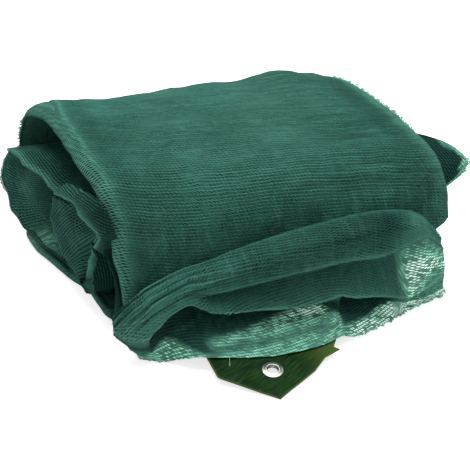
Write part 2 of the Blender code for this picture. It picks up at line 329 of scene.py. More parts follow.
# Each spot: its middle row and how far it reaches.
# Spots of painted shade and painted light by the brow and the top, a back corner given painted light, a
# dent at the foot, and two patches of painted backlight at the foot and the back.
BROW_SHADE = (5.4, 2.2)
BROW_LIGHT = (5.6, 1.9)
TOP_LIGHT = (5.8, 1.1)
BACK_CORNER = (8.7, 1.4)
BACKLIT_FOOT = (11.9, 0.45)
FOOT_DENT = (13.4, 0.3)
BACKLIT_BACK = (24.8, 0.4)
ROLL_STEPS = 8
FACE_STEPS = 96
HIDDEN_STEPS = 30
EDGE_STEPS = 9
FLOOR_GAP = 0.15


def smooth_rows(rows, steps, by_distance=False):
    """Points on a smooth curve through the rows, steps of them to a row."""
    rows = np.asarray(rows, float)
    knots = np.vstack([2 * rows[0] - rows[1], rows, 2 * rows[-1] - rows[-2]])
    moves = np.diff(knots, axis=0)
    spans = np.sqrt(np.linalg.norm(moves, axis=1)) if by_distance else np.ones(len(moves))
    points = []
    for i in range(1, len(knots) - 2):
        start, end, move = knots[i], knots[i + 1], moves[i]
        last, span, following = spans[i - 1], spans[i], spans[i + 1]
        leave = move + span * (moves[i - 1] / last - (end - knots[i - 1]) / (last + span))
        arrive = move + span * (moves[i + 1] / following - (knots[i + 2] - start) / (span + following))
        for k in range(steps):
            t = k / steps
            ease = t * t * (3 - 2 * t)
            points.append(start + ease * move + t * (1 - t) * ((1 - t) * leave - t * arrive))
    points.append(rows[-1])
    return np.array(points)


def ruffle(across, along, longest, seed, lean=0.35, parts=7):
    """Soft uneven waves from -1 to 1, mostly along the ribs, the longest first."""
    draw = np.random.default_rng(seed)
    total = np.zeros(np.broadcast(across, along).shape)
    for part in range(parts):
        length = longest * 0.78**part
        angle = draw.normal(0, lean)
        phase = draw.uniform(0, 2 * math.pi)
        way = across * math.cos(angle) + along * math.sin(angle)
        total = total + 0.8**part * np.sin(2 * math.pi * way / length + phase)
    return total / 2.2


def between(first, second, share):
    return first + (second - first) * share


def hump(value, middle, spread):
    return np.exp(-(((value - middle) / spread) ** 2))


def rise(value, start, width):
    """0 up to the start and 1 from one width later."""
    return np.clip((value - start) / width, 0, 1)


def fall(value, end, width):
    """1 up to one width before the end and 0 from there."""
    return np.clip((end - value) / width, 0, 1)


def stretch(value, start, ease_in, end, ease_out):
    """1 over a stretch of values and 0 outside it."""
    return rise(value, start, ease_in) * fall(value, end, ease_out)


def cloth_piece(name, grid, across, along, marks, finish, wraps=False):
    """A mesh through a grid of points in mm, with the cloth's own lengths as its UV map in metres."""
    rows, count = grid.shape[:2]
    number = np.arange(rows * count).reshape(rows, count)
    following = np.roll(number, -1, axis=1) if wraps else number[:, 1:]
    columns = following.shape[1]
    quads = [number[:-1, :columns], following[:-1], following[1:], number[1:, :columns]]
    faces = np.stack(quads, axis=-1).reshape(-1, 4)
    flat = np.stack([across, along], axis=-1) * MM
    here, there = slice(0, columns), slice(1, columns + 1)
    corners = [flat[:-1, here], flat[:-1, there], flat[1:, there], flat[1:, here]]
    places = np.stack(corners, axis=2).reshape(-1, 2)
    data = bpy.data.meshes.new(name)
    ends = []
    if wraps:
        for row in (0, rows - 1):
            for k in range(1, count // 2):
                ends.append([int(number[row, j]) for j in (k - 1, k, count - k - 1, count - k)])
    data.from_pydata((grid.reshape(-1, 3) * MM).tolist(), [], faces.tolist() + ends)
    layer = data.uv_layers.new(name="cloth")
    whole = np.vstack([places, np.zeros((4 * len(ends), 2))])
    layer.data.foreach_set("uv", whole.ravel())
    for mark, values in marks.items():
        held = data.attributes.new(mark, "FLOAT", "POINT")
        held.data.foreach_set("value", np.broadcast_to(values, (rows, count)).ravel())
    data.materials.append(finish)
    if wraps:
        shell = bmesh.new()
        shell.from_mesh(data)
        bmesh.ops.recalc_face_normals(shell, faces=shell.faces)
        shell.to_mesh(data)
        shell.free()
    data.shade_smooth()
    return stand(name, data)


def drawn_out(wire, x, y, often, detail):
    """Noise that comes more often along one way of the cloth than the other, so that it makes streaks."""
    place = wire.node("CombineXYZ", None, {0: x * often[0], 1: y * often[1]})
    return noise(wire, place, 1.0, detail)


def painted(wire, mark):
    """What a piece's point attribute says."""
    return wire.node("Attribute", {"attribute_name": mark}, out=2)


def shade(colour, share):
    return tuple(share * c for c in colour)


def layered(wire, base, *layers):
    """Colours laid over a base one after another, each with its share."""
    for share, colour in layers:
        base = blend(wire, share, base, colour)
    return base


def lattice(wire, across, along, fuller):
    """The knit at a place in mm: ribs, inlay threads, yarn, a number for each hole, the chain of loops."""
    rib_place = across / RIB_PITCH
    column = (rib_place + 0.5).maths("FLOOR")
    gap = rib_place + 0.5 - column
    from_rib = (0.5 - abs(gap - 0.5)) * RIB_PITCH
    rib = (from_rib - fuller).step(RIB_HALF + RIB_FADE, RIB_HALF - RIB_FADE)
    stitch = along / LOOP_PITCH + rib_place * INLAY_STEP
    slope = RIB_PITCH / math.hypot(RIB_PITCH, INLAY_STEP * LOOP_PITCH)
    from_inlay = abs(stitch % 1.0 - 0.5) * (LOOP_PITCH * slope)
    inlay = (from_inlay - fuller * 0.6).step(INLAY_HALF + INLAY_FADE, INLAY_HALF - INLAY_FADE)
    yarn = rib.maths("MAXIMUM", inlay * 0.92)
    hole = wire.node("CombineXYZ", None, {0: column, 1: (stitch + 0.5).maths("FLOOR")})
    chance = wire.node("TexWhiteNoise", {"noise_dimensions": "2D"}, {"Vector": hole})
    chain = abs((along / LOOP_PITCH + (rib_place.maths("FLOOR") % 2.0) * 0.5) % 1.0 - 0.5) * 2
    return rib, inlay, yarn, chance, chain


def net_finish(name, thread, shadow, openness, turned=0.0, pitch_share=1.0, slack_scale=42.0):
    """Raschel-knitted tape yarn: looped ribs with inlay threads slanting from rib to rib."""
    material, shader, wire = new_finish(name, Specular_IOR_Level=0.02, Emission_Strength=1.0)
    lift, deep, hollow, sealed, sheer = (painted(wire, mark) for mark in MARKS)
    cloth = wire.node("UVMap", {"uv_map": "cloth"})
    laid = wire.node("VectorRotate", {"rotation_type": "Z_AXIS"}, {"Vector": cloth, "Angle": turned})
    place = wire.node("TexCoord", out=3)
    slack = noise(wire, place, slack_scale, 3.0, out=1)
    drift, drift_along = slack.axis(0), slack.axis(1)
    across = laid.axis(0) / (MM * pitch_share) + (drift - 0.5) * SLACK_ACROSS
    along = laid.axis(1) / (MM * pitch_share) + (drift_along - 0.5) * SLACK_ALONG
    closeness = noise(wire, place, CLOSENESS_SCALE, 2.0)
    fuller = (closeness - 0.5) * 0.7
    rib, inlay, yarn, chance, chain = lattice(wire, across, along, fuller)
    behind_across = across * 0.94 + along * 0.08 + (drift_along - 0.5) * SLACK_ALONG
    behind_along = across * 0.08 - along * 1.05 + (drift - 0.5) * 12.0
    _, _, yarn_behind, chance_behind, _ = lattice(wire, behind_across, behind_along, fuller)
    height = rib * (0.7 + chain * 0.3) + inlay * (1 - rib) * 0.5

    # Painted backlight closes most holes, which are painted bright further down.
    painted_holes = 1 - sheer.held(chance.step(0.2, 0.3))
    opening = closeness.step(0.30, 0.55) * openness * (1 - sealed) * painted_holes
    alpha = 1 - (1 - yarn) * opening
    cloudy = noise(wire, place, CLOUD_SCALE, 4.0)
    strands = noise(wire, place, STRAND_SCALE, 2.0)
    on_front = place.axis(2).step(*FRONT_LEVEL)
    on_right = place.axis(0).step(*RIGHT_SIDE)
    bars = drawn_out(wire, along, across, BARS, 2.0)
    thin_bars = drawn_out(wire, along, across, THIN_BARS, 1.0)
    lines = drawn_out(wire, along, across, LINES, 3.0)
    drawn = bars.step(0.52, 0.62) * on_front * (1 + on_right * 0.6) + lines.step(0.5, 0.66) * (1 - on_front)
    drawn = drawn + thin_bars.step(0.52, 0.64) * on_front * on_right * 1.2
    sunk_lines = lines.step(0.5, 0.38) * (1 - on_front) * (0.2 + on_right * 0.45)
    # Brighter strands, loops and streaks; the lighter loop crowns on the ribs are a painted highlight.
    bright = strands.step(0.35, 0.75) * 0.3 + rib * chain.step(0.3, 0.8) * 0.2 + drawn * 0.32

    # Between the yarns, painted shade: a ply behind painted darker than the thread, and painted shadow
    # below that, darker still in the inner turns.
    second = yarn_behind * (0.55 + chance_behind * 0.45) * (1 - hollow * 0.9)
    pit = blend(wire, hollow, shadow, shade(shadow, 0.15))
    pit = blend(wire, second, pit, shade(thread, 0.62))
    seen_through = (0.45 + chance * 0.55).maths("MAXIMUM", hollow * 0.95)

    # Painted backlight of a single ply in front of the light floor: its holes are painted bright and glow a
    # little, though they are no lamp.
    single_ply = (sheer - 1).held(2.0)
    lit_hole = layered(
        wire,
        blend(wire, chance.step(0.1, 0.7), shade(SHEER_LIGHT, 0.45), SHEER_LIGHT),
        (single_ply * chance.step(0.1, 0.5), HOLE_WHITE),
        (yarn_behind * 0.35 * (1 - single_ply * 0.6), SHEER_THREAD),
    )
    backlit = blend(wire, yarn * 0.9, lit_hole, SHEER_THREAD)
    glow = blend(wire, single_ply, *HOLE_GLOW)
    open_share = sheer.held(chance.step(0.05, 0.6))
    through = blend(wire, (1 - yarn) * open_share, (0.0, 0.0, 0.0), glow)

    # Over the thread's tone: yarn painted lighter in the inner turns, painted shade in the pits, then
    # painted highlight, painted shade and painted backlight, each by its mark.
    base = layered(
        wire,
        blend(wire, cloudy.step(0.33, 0.67), shade(thread, 0.74), shade(thread, 1.2)),
        ((bright + hollow * 0.45).held(), shade(thread, 1.75)),
        (sunk_lines, shade(thread, 0.55)),
        ((1 - yarn) * seen_through * (1 - 0.4 * lift), pit),
        ((lift * (1 - hollow * (1 - yarn))).held(0.62), HIGHLIGHT_THREAD),
        (deep, blend(wire, yarn, shade(shadow, 0.12), shade(shadow, 1.2))),
        (sheer.held(), backlit),
    )
    bump = wire.node("Bump", None, {"Strength": 0.7, "Distance": 0.0008, "Height": height})
    rough = 0.82 - height * 0.14
    feed(wire.tree, shader, Base_Color=base, Alpha=alpha, Roughness=rough, Normal=bump)
    feed(wire.tree, shader, Emission_Color=through)
    return material


OUTER_NET = net_finish("green knitted net", (0.044, 0.155, 0.121), (0.012, 0.050, 0.042), 1.0)
UNDER_NET = net_finish(
    "green net beneath", (0.043, 0.150, 0.117), (0.008, 0.036, 0.031), 0.0, 0.06, 0.955, 29.0
)


def marked(grid, **marks):
    """The point attributes of a net piece; a mark that isn't given is zero."""
    spread = {mark: np.broadcast_to(marks.get(mark, 0.0), grid.shape[:2]) for mark in MARKS}
    return {mark: np.clip(values, 0, MOST) for mark, values in spread.items()}


def leaned_ribs(x):
    """The ribs sink a little towards the right and the far left, as the outer ply was pulled askew."""
    return 0.05 * x - 0.0015 * np.clip(-50 - x, 0, 80) ** 2 + 0.0003 * np.clip(x, 0, 200) ** 2


def edge_point(share, bulge, slant):
    """Along a turned edge, from the outer face (share 0) to the inner one: how far out and across."""
    angle = math.pi * share
    square = 0.75
    across = math.copysign(abs(math.cos(angle)) ** square, math.cos(angle))
    out = bulge * math.sin(angle) ** square
    return out - slant * (1 + across) / 2, across


def run_length(line):
    """How far along a line each of its points lies."""
    return np.concatenate([[0], np.cumsum(np.linalg.norm(np.diff(line, axis=0), axis=1))])


def wind_roll(name, finish, face_shares, hidden_shares, steps, back, edge_back):
    """One skin of the wound stack: its outer face, right edge, inner face and left edge in each row."""
    table = smooth_rows(WINDING, steps)
    rows = np.arange(len(table)) / steps
    left, right, reach, thick = table[:, 0:2], table[:, 2:4], table[:, 4:6], table[:, 6]
    crown = np.sin(np.pi * rise(rows, CROWN_ROWS[0], CROWN_ROWS[1] - CROWN_ROWS[0])) ** 2
    inner_turns = rise(rows, FIRST_TURN + 0.5, 2)
    outer_turn = 1 - inner_turns
    low_turn = 0.6 * rise(rows, *LOW_TURN)
    slant = EDGE_SLANT * (1 - rise(rows, 10, 4)) * rise(rows, 1, 2)
    ends = np.stack([reach[:, 0] + edge_back(rows, 0), reach[:, 1] - edge_back(rows, 1)])
    ends[0] -= inner_turns * 0.75 * thick / 2
    top_lip = inner_turns * (1 - rise(rows, *TOP_LIP_END))
    ends[1] -= FOOT_STEP * fall(rows, 1.95, 0.2)
    ends[0] += 5.0 * hump(rows, *FOOT_DENT)
    for end in (0, 1):
        ends[end] += (0.9 + 2.0 * inner_turns) * ruffle(rows * ROW_LENGTH, 0.0, 60, 31 + end)
        ends[end] += 0.5 * inner_turns * ruffle(rows * ROW_LENGTH, 0.0, 24, 41 + end)
    paths = [run_length(end) for end in (left, right)]

    def middle(x):
        """At each row's place x: the stack's middle line, its outward normal, the length wound so far."""
        u = (x - reach[:, 0]) / (reach[:, 1] - reach[:, 0])
        line = left + (right - left) * u[:, None]
        for place, spread, height in CROWN_RISES:
            line[:, 1] += height * crown * hump(u, place, spread)
        run = np.gradient(line, axis=0)
        run /= np.linalg.norm(run, axis=1)[:, None]
        return line, np.stack([-run[:, 1], run[:, 0]], axis=1), paths[0] + (paths[1] - paths[0]) * u

    def leans(x):
        """How far the two faces lie off the middle; inner turns thin out to a lip at the left."""
        half = thick / 2 - back(rows, (x - reach[:, 0]) / (reach[:, 1] - reach[:, 0]))
        thin = inner_turns * 0.8 * (1 - rise(x, ends[0], 20)) ** 1.5 * 2 * half
        return half - top_lip * thin, -half + (1 - top_lip) * thin

    columns = []

    def add(x, foot, lean, across, far, lift, deep, hollow, sheer=0.0):
        line, out, _ = middle(foot)
        y = line[:, 0] + out[:, 0] * lean
        z = line[:, 1] + out[:, 1] * lean
        values = (x, y, z, across, far, lift, deep, hollow, sheer)
        columns.append([np.broadcast_to(value, rows.shape) for value in values])

    def ribs(x):
        return middle(x)[2] + leaned_ribs(x)

    start = ends[0] + slant
    in_tip = stretch(rows, *TIP_ROWS)
    tip_front = fall(rows, *TIP_FRONT_END)
    right_shade = hump(rows, *BROW_SHADE)
    brow_light = hump(rows, *BROW_LIGHT)
    front_left = fall(rows, *FRONT_LEFT_END)
    inner_start = rise(rows, *INNER_START)
    in_back = stretch(rows, *BACK_FOLD_ROWS)
    under_lap = stretch(rows, *UNDER_LAP_ROWS)
    behind_wave = stretch(rows, *BEHIND_WAVE_ROWS)
    in_corner = hump(rows, *BACK_CORNER)
    # A patch of painted backlight at the foot, which also takes away painted shade.
    backlit_foot = 0.35 * hump(rows, *BACKLIT_FOOT)

    # The outer face, from its rim at the left to the right end.
    for share in face_shares:
        x = start + (ends[1] - start) * share
        line, _, path = middle(x)
        near = np.minimum(x - start, ends[1] - x)
        soft = rise(near, 0, 14) * rise(line[:, 1], 8, 12)
        wave = 1.3 * ruffle(path, x, 95, 3, lean=0.9) + 0.5 * ruffle(path, x, 34, 4, lean=0.5)
        outer, _ = leans(x)
        from_rim = x - start
        # Painted shade on the outer face: behind the rims, in the inner and low turns, at the tip, towards
        # the brow's right end, at the front left and under the laps.
        deep = 0.16 * behind_wave + inner_turns * (0.02 + 0.3 * (1 - behind_wave) * rise(from_rim, 6, 34))
        deep = deep + 0.45 * low_turn + 0.35 * inner_start + in_tip * 0.7 * rise(x, 180, 12)
        from_right = ends[1] - x
        towards_right = 0.13 * fall(from_right, 95, 35)
        deep = deep + outer_turn * (towards_right + 0.24 * hump(from_right, 20, 12)) * right_shade
        deep = np.clip(deep + 0.08 * front_left * fall(x, 60, 120), 0, 0.95)
        behind_rim = rise(from_rim, 3, 6) * (1 - 0.75 * rise(from_rim, 14, 14))
        deep = deep + 0.45 * behind_wave * behind_rim + 0.34 * hump(from_rim, 17, 11) * outer_turn
        deep = np.maximum(deep, np.maximum(0.88 * inner_start, 0.82 * under_lap))
        # Painted light: highlights along the left rim, at the right end of the brow and over the top.
        rim_width = 2.6 + 2.4 * inner_turns - 1.0 * behind_wave
        lift = hump(x, start, rim_width) * (0.4 + 0.45 * inner_turns) * (1 - low_turn) * (1 - under_lap)
        lift = lift * (1 - inner_start) + 0.5 * hump(from_right, 1.0, 2.6) * brow_light
        lift = lift + 0.12 * hump(x, 70, 55) * hump(rows, *TOP_LIGHT)
        # The loose loops at the tip get painted backlight in place of painted shade.
        loops_reach = 4 + 2.5 * ruffle(rows * ROW_LENGTH, 0.0, 22, 47)
        loops = in_tip * 0.75 * fall(from_right, loops_reach, 2) * tip_front
        across = between(ribs(x), 1.05 * x + 0.15 * path, inner_turns)
        far = between(x, path, inner_turns)
        puffed = outer + wave * soft * (1 - 0.5 * inner_turns)
        add(x, x, puffed, across, far, lift, deep * (1 - np.minimum(loops, 1)), inner_turns, loops)
    # Round the right edge.
    for k in range(1, EDGE_STEPS):
        outer, inner = leans(ends[1])
        half = (outer - inner) / 2
        out, across = edge_point(k / EDGE_STEPS, half, 0.0)
        far = ends[1] + half * math.pi * k / EDGE_STEPS
        lean = (outer + inner) / 2 + half * across
        # Painted highlight round the right edge, painted shade away from the tip and painted backlight on
        # its loops.
        lift = 0.4 + 0.3 * brow_light
        loops = in_tip * 0.95 * tip_front
        add(ends[1] + out, ends[1], lean, ribs(ends[1]), far, lift, 0.3 * (1 - in_tip), 0.5, loops)
    # The inner face, back to the left.
    for share in hidden_shares[::-1]:
        x = ends[0] + (ends[1] - ends[0]) * share
        _, inner = leans(x)
        from_edge = x - ends[0]
        # Painted shade on the inner face, deeper away from the edge and by the back fold, and painted light
        # in the back corner and along the back fold.
        deep = (0.3 - 0.15 * in_back) * rise(from_edge, 5, 40) * (1 - in_corner)
        deep = deep + in_back * 0.3 * fall(from_edge, 20, 12)
        deep = np.maximum(deep, 0.85 * under_lap)
        across = ribs(x) - 0.5 * x * in_back
        lift = 0.15 * outer_turn + 0.35 * in_corner * fall(from_edge, 45, 20)
        lift = lift + 0.6 * in_back * rise(from_edge, 10, 8) * fall(from_edge, 45, 15)
        # Patches of painted backlight near the edge, at the back and the foot, where the painted shade
        # gives way.
        backlit_patch = (0.5 * hump(rows, *BACKLIT_BACK) + backlit_foot) * fall(from_edge, 14, 6)
        add(x, x, inner, across, ends[1] * 2 - x + 20, lift, deep * (1 - backlit_patch), 0.6 + 0.35 * in_back, backlit_patch)
    # Round the left edge, whose outer lip leans back by the slant.
    for k in range(1, EDGE_STEPS):
        outer, inner = leans(ends[0])
        half = (outer - inner) / 2
        share = 1 - k / EDGE_STEPS
        out, across = edge_point(share, half * (1 - 0.2 * inner_turns), slant)
        far = ends[0] + slant - (2 * half * (1 + 0.5 * inner_turns) + 0.6 * slant) * share
        # Painted highlights on the lip and on the inner turns' edges, and painted shade behind the lip and
        # in the low and inner turns.
        rim = np.maximum(0.6 * hump(share, 0.0, 0.1), hump(share, 0.46, 0.15))
        lift = (0.1 + rim) * outer_turn * 0.6
        lift = (lift + 0.9 * inner_turns * (1 - low_turn) * hump(share, 0.3, 0.5)) * (1 - under_lap)
        deep = 0.8 * rise(share, 0.68, 0.14) * outer_turn * (1 - 0.6 * in_corner)
        deep = deep + 0.6 * low_turn
        deep = deep + 0.35 * inner_turns * np.clip(share * 2 - 0.6, 0, 1)
        deep = np.clip(deep, 0.82 * under_lap, 0.95) * (1 - backlit_foot)
        lean = (outer + inner) / 2 + half * across
        turned_ribs = ribs(ends[0]) * (1 - 0.3 * inner_turns) - 14 * share * inner_turns
        add(ends[0] - out, ends[0], lean, turned_ribs, far, lift, deep, outer_turn, backlit_foot)
    stacked = np.array(columns).transpose(1, 0, 2)
    names = ("x", "y", "z", "across", "along", "lift", "deep", "hollow", "sheer")
    values = {name: stacked[k].T for k, name in enumerate(names)}
    grid = np.stack([values["x"], values["y"], np.maximum(values["z"], FLOOR_GAP)], axis=2)
    wrapped = {n: np.hstack([values[n], values[n][:, :1]]) for n in ("across", "along")}
    crown_back = stretch(rows, *CROWN_BACK_ROWS)
    near_right = rise(values["x"], ends[1][:, None] - 14, 6)
    marks = marked(
        grid,
        sealed=np.maximum(np.maximum(values["hollow"], crown_back[:, None]), near_right),
        **{mark: values[mark] for mark in ("lift", "deep", "hollow", "sheer")},
    )
    return cloth_piece(name, grid, wrapped["across"], wrapped["along"], marks, finish, wraps=True), grid


def outer_short(rows, end):
    """The outer ply is pulled back from the stack's left end over the crown's back corner."""
    return 30.0 * rise(rows, 6.0, 2.2) ** 1.6 * fall(rows, 11.5, 2) * (end == 0)


def ply_back(rows, u):
    """How far the plies beneath lie behind the outer one: most at the back right of the crown."""
    return 1.5 + 2.2 * hump(rows, 8.2, 1.2) * hump(u, 0.88, 0.16)


def edge_short(rows, end):
    """How far the plies beneath stop short of each end."""
    drawn_in = (4.0 if end == 0 else 7.0) * hump(rows, 18, 2.0) + 3.0 * hump(rows, 8.5, 1.5) * end
    return 2.0 + drawn_in - 2.0 * hump(rows, 7.5, 2.0) * (1 - end)


face_shares = np.linspace(0, 1, FACE_STEPS)
hidden_shares = np.linspace(0, 1, HIDDEN_STEPS) ** 1.7
outer_ply, outer_grid = wind_roll(
    "roll_outer_ply", OUTER_NET, face_shares, hidden_shares, ROLL_STEPS, lambda rows, u: 0.2, outer_short
)
under_plies, under_grid = wind_roll(
    "roll_plies_beneath",
    UNDER_NET,
    face_shares[::3],
    hidden_shares[::2],
    ROLL_STEPS // 2,
    ply_back,
    edge_short,
)
for piece in (outer_ply, under_plies):
    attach(piece, "root")
    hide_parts("net_roll")


FRAY_STEP = 0.9
FRAY_COLUMNS = 6
FRAY_FLOOR_GAP = 0.35


def frayed_edge(name, line, outward, reach, seed):
    """A strip of unravelled net along an edge: its points, the way it sticks out and how far in mm."""
    path = run_length(line)
    places = np.arange(0, path[-1], FRAY_STEP)
    line = np.stack([np.interp(places, path, line[:, k]) for k in range(3)], axis=1)
    way = np.array(outward, float) / np.linalg.norm(outward)
    uneven = 0.75 + 0.5 * ruffle(places, 0.0, 17, seed) + 0.5 * ruffle(places, 0.0, 5, seed + 1)
    uneven = np.clip(uneven, 0.15, 1.6)
    fade = np.clip(np.minimum(places, places[-1] - places) / 8, 0.1, 1)
    shares = np.linspace(-0.4, 1, FRAY_COLUMNS)
    out = reach * (uneven * fade)[:, None] * shares
    curl = 0.5 * ruffle(places, 0.0, 11, seed + 2)[:, None] * np.clip(shares, 0, 1)
    grid = line[:, None] + way * out[:, :, None]
    grid[:, :, 2] = np.maximum(grid[:, :, 2] + curl, FRAY_FLOOR_GAP)
    # The frays get painted backlight all over.
    marks = marked(grid, sheer=1.0)
    across = places[:, None] * np.full(FRAY_COLUMNS, 1.7)
    return cloth_piece(name, grid, across, out, marks, OUTER_NET)


def edge_rows(grid, column, first, last):
    """The points of one column of a skin from one row of the winding to another."""
    steps = (len(grid) - 1) // (len(WINDING) - 1)
    return grid[int(first * steps) : int(last * steps) + 1, column]


right_tip = FACE_STEPS + EDGE_STEPS // 2
left_tip = FACE_STEPS + HIDDEN_STEPS + 3 * EDGE_STEPS // 2 - 1
under_left_tip = FACE_STEPS // 3 + HIDDEN_STEPS // 2 + 3 * EDGE_STEPS // 2 - 1
# Each fray: the grid and column it runs along, its first and last row, which way, how far, its seed.
ROLL_FRAYS = [
    ("roll_fray_crown", outer_grid, FACE_STEPS + 1, 4.6, 7.6, (0.7, 0, 0.7), 2.6, 61),
    ("roll_fray_tip", outer_grid, right_tip, 17.2, 18.8, (1, 0, 0.1), 4.0, 64),
    ("roll_fray_left", outer_grid, left_tip, 21.4, 23.2, (-1, 0, 0.1), 1.0, 67),
    ("roll_fray_corner", under_grid, under_left_tip, 8.3, 10.2, (-1, 0, 0.2), 3.6, 70),
]
roll_frays = [
    frayed_edge(name, edge_rows(grid, column, first, last), way, reach, seed)
    for name, grid, column, first, last, way, reach, seed in ROLL_FRAYS
]
for fray in roll_frays:
    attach(fray, "root")
    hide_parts("net_roll")

# The innermost fold
# Where the winding began, the plies fold over the roll's left end in a soft
# leaf. Each row gives its left and right edges, from the top down.
Leaf = namedtuple("Leaf", "left_x left_y left_z crease_x crease_y crease_z far_x far_y far_z")
LEAF = [
    Leaf(-162, 96, 92, -160, 98, 94, -156, 55, 128),
    Leaf(-162, 98, 82, -158, 38, 115, -152, 15, 139),
    Leaf(-162, 108, 64, -156, 27, 107, -149, -15, 144),
    Leaf(-161, 110, 52, -155, 3, 108, -146, -37, 139),
    Leaf(-160, 106, 46, -154, -30, 111, -142, -45, 122),
    Leaf(-160, 85, 33, -152, -1, 84, -134, -24, 89),
    Leaf(-159, 69, 29, -151, 13, 66, -131, -17, 70),
    Leaf(-159, 47, 30, -151, 21, 51, -131, -8, 49),
    Leaf(-158, 38, 27, -151, 31, 34, -131, 11, 19),
    Leaf(-158, 27, 26, -152, 40, 17, -131, 51, -21),
]
LEAF_STEPS = 9
LEAF_COLUMNS = 34


def fold_leaf():
    table = smooth_rows(LEAF, LEAF_STEPS)
    shares = np.linspace(0, 1, LEAF_COLUMNS)
    down = np.linspace(0, 1, len(table))[:, None]
    left, crease, far = table[:, 0:3], table[:, 3:6], table[:, 6:9]
    lobe = left[:, None] + (crease - left)[:, None] * shares[None, :, None]
    bulge = np.sin(np.pi * shares)[None, :] ** 0.7 * np.sin(np.pi * down) ** 0.6
    lobe[:, :, 0] += 6.5 * hump(shares, 0.84, 0.13)[None, :] - 4.5 * bulge
    tail = crease[:, None] + (far - crease)[:, None] * shares[None, 1:, None]
    tail[:, :, 0] -= 4.0 * np.sin(np.pi * shares[1:])[None, :] ** 0.6
    grid = np.hstack([lobe, tail])
    grid[:, :, 0] += 0.8 * ruffle(grid[:, :, 1] + grid[:, :, 2], grid[:, :, 1], 26, 51, lean=0.5)
    grid[:, :, 2] = np.maximum(grid[:, :, 2], 0.6)
    lean = np.radians(np.where(np.arange(grid.shape[1]) < LEAF_COLUMNS, 42, 8))[None, :]
    across = grid[:, :, 1] * np.sin(lean) + grid[:, :, 2] * np.cos(lean)
    along = grid[:, :, 1] * np.cos(lean) - grid[:, :, 2] * np.sin(lean)
    place = np.concatenate([shares, 1 + shares[1:]])[None, :]
    # Painted highlights along the leaf's rims, and painted shade over it, deeper in the tail and by the
    # crease.
    rim = np.maximum(hump(place, 0.0, 0.06), hump(place, 1.08, 0.24)) * np.ones_like(down)
    in_tail = rise(place, 1.1, 0.7)
    below_top = 0.15 + 0.85 * rise(down, 0, 0.3)
    deep = (0.5 - 0.5 * rim + 0.4 * in_tail) * np.where(place > 1, below_top, 1)
    deep = deep + 0.25 * hump(place, 0.84, 0.1)
    lift = np.maximum(0.9 * rim, 0.12 * (place < 0.8))
    marks = marked(grid, lift=lift, deep=deep, hollow=1.0, sealed=1.0)
    return cloth_piece("roll_inner_fold", grid, across, -along, marks, OUTER_NET)


inner_fold = fold_leaf()
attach(inner_fold, "root")
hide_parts("net_roll")

# The loose end
# The last stretch of the same net, dropped in front of the roll in two swags,
# with a single sheer ply running out to the hem. A second ply lies inside the
# swags and stops above the hem.
Fold = namedtuple(
    "Fold", "x ridge_y ridge_z belly under_y under_z deep edge_y edge_z hollow hem_x hem_y hem_z"
)
HEAP = [
    Fold(-161, -74, 47, 1, -78, 42, 0, -79, 37, 0, -142, -82, 28),
    Fold(-148, -76, 60, 4, -89, 46, 0, -92, 31, 0, -141, -91, 9),
    Fold(-134, -77, 69, 8, -96, 52, 0, -101, 34, 0, -128, -94, 3),
    Fold(-126, -77, 74, 9, -98, 59, 0, -102, 42, 13, -118, -98, 1.2),
    Fold(-108, -78, 81, 9, -100, 70, 0, -103, 57, 24, -107, -107, 7),
    Fold(-90, -79, 87, 10, -101, 75, 0, -104, 62, 25, -95, -121, 14.5),
    Fold(-74, -80, 90, 11, -101, 67, 4, -106, 51, 26, -77, -128, 13.9),
    Fold(-55, -81, 94, 12, -102, 66, 18, -108, 45, 27, -54, -136, 12.4),
    Fold(-20, -83, 101, 13, -106, 69, 22, -112, 42, 28, -26, -144, 11.2),
    Fold(20, -87, 107, 13, -111, 73, 24, -117, 38, 26, 4, -147, 10.7),
    Fold(46, -89, 110, 13, -114, 75, 25, -120, 39, 22, 22, -147, 10.7),
    Fold(58, -91, 111, 12, -115, 76, 25, -121, 42, 3, 35, -146, 10.9),
    Fold(68, -92, 112, 12, -116, 76, 25, -122, 39, 22, 50, -143, 11.5),
    Fold(80, -93, 113, 12, -117, 76, 24, -123, 36, 24, 68, -138, 4),
    Fold(105, -96, 114, 11, -120, 75, 22, -125, 31, 22, 106, -127, 1.2),
    Fold(131, -99, 112, 9, -123, 82, 14, -126, 24, 12, 141, -115, 1.2),
    Fold(152, -103, 104, 6, -122, 87, 1, -127, 30, 3, 170, -109, 1.2),
    Fold(174, -105, 80, 3, -119, 68, 0, -124, 40, 0, 192, -105, 1.2),
]
LEG_FOOT = 24
LEG_BELOW_RIDGE = 12
LEG_SHARES = (0, 0.35, 0.7, 1)
LEG_WALL = 2.2
LEG_LEAN = 2.0
SHOULDER = 2.8
BELLY_POINTS = ((0.28, 0.8), (-0.15, 1.0))
TUCK_DROP = 3
PANEL_START = 124
HEAP_STEPS = 11
CREASE_STEPS = 10
INNER_STOP = 12
PLIES_APART = 1.1
OUTER_FLOOR_GAP = 0.4
INNER_FLOOR_GAP = 0.3
ROLL_FRONT_FROM = -132
ROLL_FRONT_LENGTH = 324
# Places across a section are counted in its points: the leg's foot is 0, and so on.
RIDGE_PART, UNDER_PART, EDGE_PART, APRON_PART, HEM_PART = 5, 8, 11, 14, 15


def roll_front(x, z):
    """Y of the roll's front at a height, x along the roll."""
    u = float(rise(x, ROLL_FRONT_FROM, ROLL_FRONT_LENGTH))
    front = WINDING[:4]
    heights = [between(wind.left_z, wind.right_z, u) for wind in front]
    depths = [between(wind.left_y, wind.right_y, u) - wind.thick / 2 for wind in front]
    return float(np.interp(z, heights, depths))


